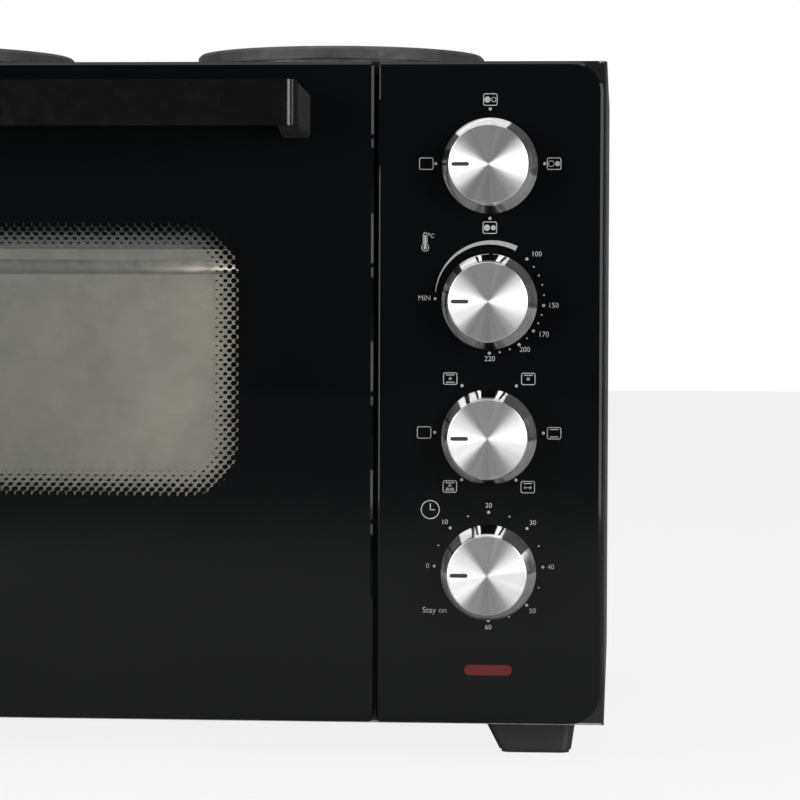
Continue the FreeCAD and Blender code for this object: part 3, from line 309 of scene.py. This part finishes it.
BLACK_GLASS = surface("black_glass", GLASS_DARK, GLASS_LIGHT, (0.03, 0.06), grain=9.0, bump=0.02,
                      specular=0.2)
BLACK_ENAMEL = surface("black_enamel", grey(0.006), grey(0.012), (0.16, 0.3), grain=40.0, bump=0.12)
DARK_COAT = surface("dark_powder_coat", grey(0.012), grey(0.022), (0.38, 0.55), bump=0.35, speck=1500)
ZINC = surface("zinc_steel", grey(0.42, (0.97, 0.98, 1.0)), grey(0.56), (0.3, 0.5), grain=25.0,
               metal=1.0, bump=0.1)
GREY_ENAMEL = surface("cavity_enamel", grey(0.46, (1.0, 0.98, 0.88)), grey(0.62, (1.0, 0.98, 0.88)),
                      (0.2, 0.38), grain=30.0, bump=0.25, speck=700.0)
CAST_IRON = surface("cast_iron", grey(0.02), grey(0.05, (1.0, 0.98, 1.02)), (0.45, 0.66), grain=120.0,
                    bump=0.5, depth=0.0003, speck=1400.0)
MIRROR_STEEL = surface("polished_steel", grey(0.8), grey(0.92), (0.34, 0.5), grain=50.0, metal=1.0,
                       bump=0.04)
WIRE_CHROME = surface("bright_wire", grey(0.5), grey(0.66), (0.12, 0.3), grain=90.0, metal=1.0,
                      bump=0.08)
BLACK_PLASTIC = surface("black_plastic", grey(0.009), grey(0.016, (1.0, 0.97, 0.97)), (0.42, 0.6),
                        bump=0.5, depth=0.00015, speck=2400.0)
GLOSS_BLACK = surface("gloss_black", grey(0.003), grey(0.0045), (0.12, 0.22), bump=0.03, specular=0.3)
RUBBER = surface("rubber", grey(0.008), grey(0.016), (0.7, 0.9), bump=0.5)
CERAMIC = surface("ceramic", grey(0.7, (1.0, 0.97, 0.9)), grey(0.82, (1.0, 0.98, 0.93)), (0.6, 0.8))
IVORY = surface("ivory_plastic", grey(0.5, (1.0, 0.95, 0.83)), grey(0.62, (1.0, 0.96, 0.86)),
                (0.4, 0.55))
SHEATH = surface("element_sheath", grey(0.05, (1.0, 0.93, 0.88)), grey(0.16, (1.0, 0.95, 0.9)),
                 (0.4, 0.65), grain=150.0, metal=0.7)
PRINT = surface("pale_print", grey(0.24), grey(0.3), (0.5, 0.6), grain=400.0, bump=0.05)
BROWN = surface("pointer_brown", (0.018, 0.009, 0.008), (0.03, 0.016, 0.014), (0.4, 0.55), grain=300.0)
TRAY_ENAMEL = surface("tray_enamel", grey(0.01), grey(0.03), (0.25, 0.45), grain=220.0, bump=0.2)
LENS_RED = glowing("red_lens", (0.075, 0.004, 0.0035), 0.3, 0.18)

FINISHES = {
    BLACK_ENAMEL: ("hob_top_panel", "front_frame", "door_frame", "door_inner_panel"),
    DARK_COAT: ("left_side_panel", "right_side_panel"),
    ZINC: ("base_pan", "back_panel", "heat_shield", "case_screws", "plate_clamps", "hinge_brackets",
           "hinge_arms", "handle_screws", "glass_clips", "drive_motors", "fan_wheel"),
    GREY_ENAMEL: ("cavity_ceiling", "cavity_floor_plate", "cavity_back_wall", "cavity_left_wall",
                  "cavity_right_wall", "fan_cover"),
    CAST_IRON: ("left_hot_plate", "right_hot_plate"),
    MIRROR_STEEL: ("plate_rings", "rotisserie_drive"),
    WIRE_CHROME: ("wire_rack", "shelf_rails"),
    BLACK_PLASTIC: ("control_panel_frame", "feet", "rear_spacers", "cord_gland", "handle_brackets"),
    RUBBER: ("foot_pads", "door_seal"),
    CERAMIC: ("element_insulators", "oven_lamp_holder"),
    IVORY: ("control_switches", "terminal_block", "hinge_guides"),
    GLOSS_BLACK: ("door_handle_bar",),
    SHEATH: ("upper_heating_elements", "lower_heating_elements"),
    TRAY_ENAMEL: ("baking_tray",),
    LENS_RED: ("pilot_lens",),
    clear_glass("inner_glass", (0.75, 0.8, 0.78), 0.1): ("door_inner_glass",),
    clear_glass("lamp_glass", (0.95, 0.93, 0.88), 0.3): ("oven_lamp_cover",),
    glowing("bulb_glow", (1.0, 0.86, 0.62), 4.0): ("oven_lamp_bulb",),
    glowing("neon_glow", (0.9, 0.2, 0.08), 1.0): ("pilot_lamp",),
}


def dress_nodes():
    for material, names in FINISHES.items():
        for name in names:
            dress(name, material)
    for name in DIALS:
        dress(f"{name}_knob", knob_chrome(f"{name}_knob_chrome", middle(f"{name}_knob_cap")))
        dress(f"{name}_knob_cap", spun_metal(f"{name}_spun_metal", middle(f"{name}_knob_cap")))
    soften(NODES["door_handle_bar"], 1.6 * MM)
    soften(NODES["handle_brackets"], 0.8 * MM)


# ---------------------------------------------------------------- pieces

def piece(name, mesh, material, body):
    """A new visual piece that rides on a body."""
    item = bpy.data.objects.new(name, mesh)
    bpy.context.scene.collection.objects.link(item)
    item.data.materials.append(material)
    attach(item, body)
    return item


def rounded_outline(low, high, radii, steps=10):
    """Corner points of a rectangle in X and Z; radii run from low-low, anticlockwise."""
    corners = ((low[0], low[1], 180), (high[0], low[1], 270), (high[0], high[1], 0),
               (low[0], high[1], 90))
    points = []
    for (x, z, start), radius in zip(corners, radii):
        inward_x = radius if x == low[0] else -radius
        inward_z = radius if z == low[1] else -radius
        for step in range(steps + 1):
            turn = math.radians(start + 90 * step / steps)
            points.append((x + inward_x + radius * math.cos(turn),
                           z + inward_z + radius * math.sin(turn)))
    return points


def glass_plate(name, node, radii, material, body):
    """A polished glass plate: its front edge is ground to a bevel all the way round."""
    low, high = (Vector(corner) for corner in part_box(node))
    bevel = 1.5 * MM
    rings = ((low.y, bevel), (low.y + 0.7 * bevel, 0.15 * bevel), (low.y + bevel, 0.0),
             (high.y, 0.0))
    mesh = bpy.data.meshes.new(name)
    build = bmesh.new()
    loops = []
    for y, inset in rings:
        outline = rounded_outline((low.x + inset, low.z + inset), (high.x - inset, high.z - inset),
                                  [max(radius - inset, 0.3 * MM) for radius in radii])
        loops.append([build.verts.new((x, y, z)) for x, z in outline])
    for near, far in zip(loops, loops[1:]):
        count = len(near)
        for index in range(count):
            following = (index + 1) % count
            build.faces.new((near[index], near[following], far[following], far[index]))
    build.faces.new(loops[0])
    build.faces.new(loops[-1])
    bmesh.ops.recalc_face_normals(build, faces=build.faces)
    build.to_mesh(mesh)
    build.free()
    mesh.shade_smooth()
    mesh.set_sharp_from_angle(angle=math.radians(20))
    item = piece(name, mesh, material, body)
    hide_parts(node)


def front_glass():
    large, small = 15 * MM, 2.5 * MM
    glass_plate("control_glass_plate", "control_glass", (small, large, large, small), BLACK_GLASS,
                "root")
    glass_plate("door_glass_plate", "door_outer_glass", (large, small, small, large),
                window_glass("window_glass"), "door")


class Marks:
    """Flat printed marks on the control glass, drawn about a dial's centre in millimetres."""

    def __init__(self, name, x, z):
        self.name = name
        self.origin = Vector((x, 0, z))
        self.build = bmesh.new()

    def prism(self, points):
        """A closed outline given in millimetres, as a thin raised print."""
        top = FRONT_Y - 0.04 * MM
        verts = [self.build.verts.new((self.origin.x + x * MM, top, self.origin.z + z * MM))
                 for x, z in points]
        face = self.build.faces.new(verts)
        extruded = bmesh.ops.extrude_face_region(self.build, geom=[face])
        back = [item for item in extruded["geom"] if isinstance(item, bmesh.types.BMVert)]
        bmesh.ops.translate(self.build, vec=(0, 0.05 * MM, 0), verts=back)

    def disc(self, x, z, radius, steps=20):
        turns = [2 * math.pi * step / steps for step in range(steps)]
        self.prism([(x + radius * math.cos(turn), z + radius * math.sin(turn)) for turn in turns])

    def arc(self, x, z, radius, start, end, thick_start, thick_end, steps=36):
        """A band that may taper; equal ends with a full turn give a ring."""
        for step in range(steps):
            quad = []
            ends = (step / steps, (step + 1) / steps)
            for part, side in ((ends[0], 0), (ends[1], 0), (ends[1], 1), (ends[0], 1)):
                turn = math.radians(start + (end - start) * part)
                thick = thick_start + (thick_end - thick_start) * part
                reach = radius + thick * side
                quad.append((x + reach * math.cos(turn), z + reach * math.sin(turn)))
            self.prism(quad)

    def bar(self, x, z, width, height):
        self.prism([(x - width / 2, z - height / 2), (x + width / 2, z - height / 2),
                    (x + width / 2, z + height / 2), (x - width / 2, z + height / 2)])

    def stroke(self, start, end, thick):
        (x0, z0), (x1, z1) = start, end
        length = math.hypot(x1 - x0, z1 - z0)
        nx, nz = -(z1 - z0) / length * thick / 2, (x1 - x0) / length * thick / 2
        self.prism([(x0 - nx, z0 - nz), (x1 - nx, z1 - nz), (x1 + nx, z1 + nz), (x0 + nx, z0 + nz)])

    def frame(self, x, z, width=6.9, height=5.9, line=0.42, corner=1.0):
        wide, tall = width / 2, height / 2
        outer = rounded_outline((x - wide, z - tall), (x + wide, z + tall), [corner] * 4, 4)
        inner = rounded_outline((x - wide + line, z - tall + line), (x + wide - line, z + tall - line),
                                [corner - line] * 4, 4)
        count = len(outer)
        for index in range(count):
            following = (index + 1) % count
            self.prism([outer[index], outer[following], inner[following], inner[index]])

    def finish(self):
        mesh = bpy.data.meshes.new(self.name)
        bmesh.ops.recalc_face_normals(self.build, faces=self.build.faces)
        self.build.to_mesh(mesh)
        self.build.free()
        piece(self.name, mesh, PRINT, "root")


def label(name, text, x, z, size):
    """Printed words or figures, centred, with their size as the height of a capital."""
    curve = bpy.data.curves.new(name, "FONT")
    curve.body = text
    curve.align_x = "CENTER"
    curve.align_y = "CENTER"
    curve.size = size * 1.38 * MM
    curve.extrude = 0.02 * MM
    item = bpy.data.objects.new(name, curve)
    bpy.context.scene.collection.objects.link(item)
    item.rotation_euler = (math.radians(90), 0, 0)
    item.location = (x, FRONT_Y - 0.03 * MM, z)
    curve.materials.append(PRINT)
    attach(item, "root")


def around(radius, degrees):
    turn = math.radians(degrees)
    return radius * math.cos(turn), radius * math.sin(turn)


DOT_REACH = 26.1
DOT = 0.75
SMALL_DOT = 0.42
ICON_REACH = 31.2


def hot_plate_marks(z):
    marks = Marks("hot_plate_marks", PANEL_X, z)
    for degrees in (0, 90, 180, 270):
        marks.disc(*around(DOT_REACH, degrees), DOT)
        x, height = around(30.6, degrees)
        marks.frame(x, height)
        if degrees == 180:
            continue
        for side, radius, filled in ((-1.4, 1.5, degrees != 0), (1.65, 1.2, degrees != 90)):
            if filled:
                marks.disc(x + side, height, radius)
            else:
                marks.arc(x + side, height, radius - 0.3, 0, 360, 0.32, 0.32, 20)
    marks.finish()


def temperature_marks(z):
    marks = Marks("temperature_marks", PANEL_X, z)
    marks.arc(0, 0, 26.0, 173, 62, 0.3, 2.5, 48)
    dots = {180: "MIN", 47: "100", -7: "150", -36: "170", -57: "200", -90: "220"}
    for degrees, text in dots.items():
        marks.disc(*around(DOT_REACH, degrees), DOT)
    for degrees in (36, 25.5, 15, 4, -17, -26.5, -46.5, -68, -79):
        marks.disc(*around(DOT_REACH, degrees), SMALL_DOT)
    marks.arc(-31, 30.6, 0.75, 0, 180, 0.35, 0.35, 10)
    marks.stroke((-31.9, 30.7), (-31.9, 25.6), 0.35)
    marks.stroke((-30.1, 30.7), (-30.1, 25.6), 0.35)
    marks.arc(-31, 24.4, 1.5, 120, 420, 0.35, 0.35, 24)
    marks.disc(-31, 24.4, 0.8)
    marks.bar(-31, 27.8, 0.9, 5.2)
    marks.arc(-29.2, 30.9, 0.35, 0, 360, 0.22, 0.22, 12)
    marks.finish()
    label("temperature_unit", "C", PANEL_X - 27.6 * MM, z + 30.0 * MM, 2.0)
    places = {"MIN": (-31.3, 0.2), "100": (22.4, 21.4), "150": (30.6, -3.2), "170": (26.0, -17.0),
              "200": (17.0, -24.3), "220": (0.2, -28.8)}
    for text, (x, height) in places.items():
        label(f"temperature_{text}", text, PANEL_X + x * MM, z + height * MM, 2.5)


def function_marks(z):
    """Off, then the elements, fan and spit that each position turns on."""
    marks = Marks("function_marks", PANEL_X, z)
    positions = {180: "", 120: "top fan bottom", 60: "top fan", 0: "top bottom", -60: "top spit",
                 -120: "top fan spit bottom"}
    for degrees, shows in positions.items():
        marks.disc(*around(DOT_REACH, degrees), DOT)
        x, height = around(ICON_REACH, degrees)
        if abs(degrees) in (60, 120):
            x *= 1.2
            height *= 0.96
        marks.frame(x, height)
        if "top" in shows:
            marks.bar(x, height + 1.75, 4.2, 0.45)
        if "bottom" in shows:
            marks.bar(x, height - 1.75, 4.2, 0.45)
        middle_z = height + (0.5 if "spit" in shows and "fan" in shows else 0.0)
        if "fan" in shows:
            for turn in (0, 60, 120):
                dx, dz = around(0.85, turn)
                marks.stroke((x - dx, middle_z - dz), (x + dx, middle_z + dz), 0.32)
        if "spit" in shows:
            low = height - (1.0 if "fan" in shows else 0.3)
            marks.stroke((x - 1.7, low), (x + 1.7, low), 0.3)
            for side in (-1, 1):
                marks.stroke((x + side * 1.8, low), (x + side * 1.0, low + 0.6), 0.3)
                marks.stroke((x + side * 1.8, low), (x + side * 1.0, low - 0.6), 0.3)
    marks.finish()


def timer_marks(z):
    marks = Marks("timer_marks", PANEL_X, z)
    for index in range(13):
        degrees = 180 - 22.5 * index
        marks.disc(*around(DOT_REACH, degrees), DOT if index % 2 == 0 else SMALL_DOT)
        if index % 2 == 0:
            minutes = str(index // 2 * 10)
            x, height = around(29.3 if abs(degrees % 180) == 90 else 28.6 + len(minutes) * 0.7, degrees)
            label(f"timer_{minutes}", minutes, PANEL_X + x * MM, z + height * MM, 2.4)
    marks.arc(-28.1, 27.2, 4.1, 0, 360, 0.5, 0.5, 40)
    marks.stroke((-28.1, 27.1), (-28.1, 30.2), 0.5)
    marks.stroke((-28.3, 27.1), (-25.9, 27.1), 0.5)
    marks.finish()
    label("timer_stay_on", "Stay on", PANEL_X - 25.8 * MM, z - 21.3 * MM, 2.9)


def dial_marks():
    """Each legend sits on the glass a little above its knob's axis."""
    rises = (1.0, 1.4, 2.1, 2.8)
    makers = (hot_plate_marks, temperature_marks, function_marks, timer_marks)
    for name, rise, maker in zip(DIALS, rises, makers):
        maker(middle(f"{name}_knob_cap").z + rise * MM)


def pointers():
    """A dark round-ended inlay in each cap's slot."""
    length, half_width, end_radius = 8.2 * MM, 0.95 * MM, 0.9 * MM
    from_rim, proud, depth = 1.6 * MM, 0.02 * MM, 0.9 * MM
    for name in DIALS:
        low, high = (Vector(corner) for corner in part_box(f"{name}_knob_cap"))
        z = (low.z + high.z) / 2
        left = low.x + from_rim
        outline = rounded_outline((left, z - half_width), (left + length, z + half_width),
                                  [end_radius] * 4, 6)
        mesh = bpy.data.meshes.new(f"{name}_pointer")
        build = bmesh.new()
        levels = (low.y - proud, low.y + depth)
        loops = [[build.verts.new((x, y, height)) for x, height in outline] for y in levels]
        count = len(outline)
        for index in range(count):
            following = (index + 1) % count
            build.faces.new((loops[0][index], loops[0][following], loops[1][following],
                             loops[1][index]))
        build.faces.new(loops[0])
        build.faces.new(loops[1])
        bmesh.ops.recalc_face_normals(build, faces=build.faces)
        build.to_mesh(mesh)
        build.free()
        piece(f"{name}_pointer", mesh, BROWN, DIAL_BODIES[name])


# ---------------------------------------------------------------- stage, light and camera

def stage_material():
    """A pale floor that keeps a shadow and reads near white to the camera."""
    nodes = Nodes("pale_floor")
    nodes.link(nodes.ramp(nodes.noise(3.0), ((0.3, grey(0.48)), (0.7, grey(0.52)))),
               nodes.shader.inputs["Base Color"])
    nodes.shader.inputs["Roughness"].default_value = 0.8
    nodes.shader.inputs["Specular IOR Level"].default_value = 0.1
    glow = nodes.add("ShaderNodeEmission")
    glow.inputs["Color"].default_value = (1, 1, 1, 1)
    blend = nodes.add("ShaderNodeMixShader")
    seen = nodes.add("ShaderNodeLightPath").outputs["Is Camera Ray"]
    nodes.link(nodes.maths("MULTIPLY", seen, 0.86), blend.inputs["Fac"])
    nodes.link(nodes.shader.outputs["BSDF"], blend.inputs[1])
    nodes.link(glow.outputs["Emission"], blend.inputs[2])
    nodes.link(blend.outputs["Shader"], nodes.output.inputs["Surface"])
    return nodes.material


def stage():
    mesh = bpy.data.meshes.new("floor")
    reach = 6.0
    corners = [(-reach, -reach, 0), (reach, -reach, 0), (reach, reach, 0), (-reach, reach, 0)]
    mesh.from_pydata(corners, [], [(0, 1, 2, 3)])
    floor = bpy.data.objects.new("floor", mesh)
    bpy.context.scene.collection.objects.link(floor)
    mesh.materials.append(stage_material())
    floor.location.z = -0.0005


def area_light(name, place, target, width, height, power):
    data = bpy.data.lights.new(name, "AREA")
    data.shape = "RECTANGLE"
    data.size = width
    data.size_y = height
    data.energy = power
    lamp = bpy.data.objects.new(name, data)
    bpy.context.scene.collection.objects.link(lamp)
    lamp.location = place
    aim = Vector(target) - Vector(place)
    lamp.rotation_euler = aim.to_track_quat("-Z", "Y").to_euler()


def lights():
    heart = (0.1, FRONT_Y, 0.18)
    for side, name in ((-1, "left"), (1, "right")):
        area_light(f"{name}_strip", (0.1 + side * 1.1, -1.35, 0.35), heart, 0.6, 1.5, 28)
        area_light(f"{name}_edge", (0.1 + side * 1.5, -0.45, 0.25), heart, 0.3, 1.2, 5)
    area_light("top_light", (-0.3, -0.1, 1.9), (-0.3, -0.1, 0.0), 2.4, 1.4, 24)
    inside = bpy.data.lights.new("cavity_light", "POINT")
    inside.energy = 0.45
    inside.shadow_soft_size = 0.02
    inside.color = (1.0, 0.93, 0.8)
    lamp = bpy.data.objects.new("cavity_light", inside)
    bpy.context.scene.collection.objects.link(lamp)
    low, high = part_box("oven_lamp_cover")
    lamp.location = (low[0] - 0.03, (low[1] + high[1]) / 2, (low[2] + high[2]) / 2)
    world = bpy.data.worlds.new("studio")
    bpy.context.scene.world = world
    world.use_nodes = True
    tree = world.node_tree
    background = tree.nodes["Background"]
    path = tree.nodes.new("ShaderNodeLightPath")
    value = tree.nodes.new("ShaderNodeMath")
    value.operation = "MAXIMUM"
    tree.links.new(path.outputs["Is Camera Ray"], value.inputs[0])
    coordinate = tree.nodes.new("ShaderNodeTexCoord")
    axes = tree.nodes.new("ShaderNodeSeparateXYZ")
    tree.links.new(coordinate.outputs["Generated"], axes.inputs[0])
    fade = tree.nodes.new("ShaderNodeMapRange")
    fade.inputs["From Min"].default_value = -0.8
    fade.inputs["From Max"].default_value = 0.6
    fade.inputs["To Min"].default_value = 0.02
    fade.inputs["To Max"].default_value = 0.35
    tree.links.new(axes.outputs["Y"], fade.inputs["Value"])
    tree.links.new(fade.outputs["Result"], value.inputs[1])
    tree.links.new(value.outputs[0], background.inputs["Strength"])
    background.inputs["Color"].default_value = (1, 1, 1, 1)


def camera():
    """The eye is right of the control panel's middle and looks slightly left and down."""
    data = bpy.data.cameras.new("camera")
    data.lens = 138.2
    data.sensor_width = 36
    eye = bpy.data.objects.new("camera", data)
    bpy.context.scene.collection.objects.link(eye)
    place = Vector((PANEL_LOW.x + 0.116, FRONT_Y - 1.4716, PANEL_HIGH.z - 0.1149))
    turn = (Matrix.Rotation(math.radians(4.07), 4, "Z") @ Matrix.Rotation(math.radians(-1.843), 4, "X")
            @ Matrix.Rotation(math.radians(-0.186), 4, "Y") @ Matrix.Rotation(math.radians(90), 4, "X"))
    eye.matrix_world = Matrix.Translation(place) @ turn
    bpy.context.scene.camera = eye
    bpy.context.scene.view_settings.view_transform = "Standard"


camera()
lights()
stage()
dress_nodes()
front_glass()
dial_marks()
pointers()
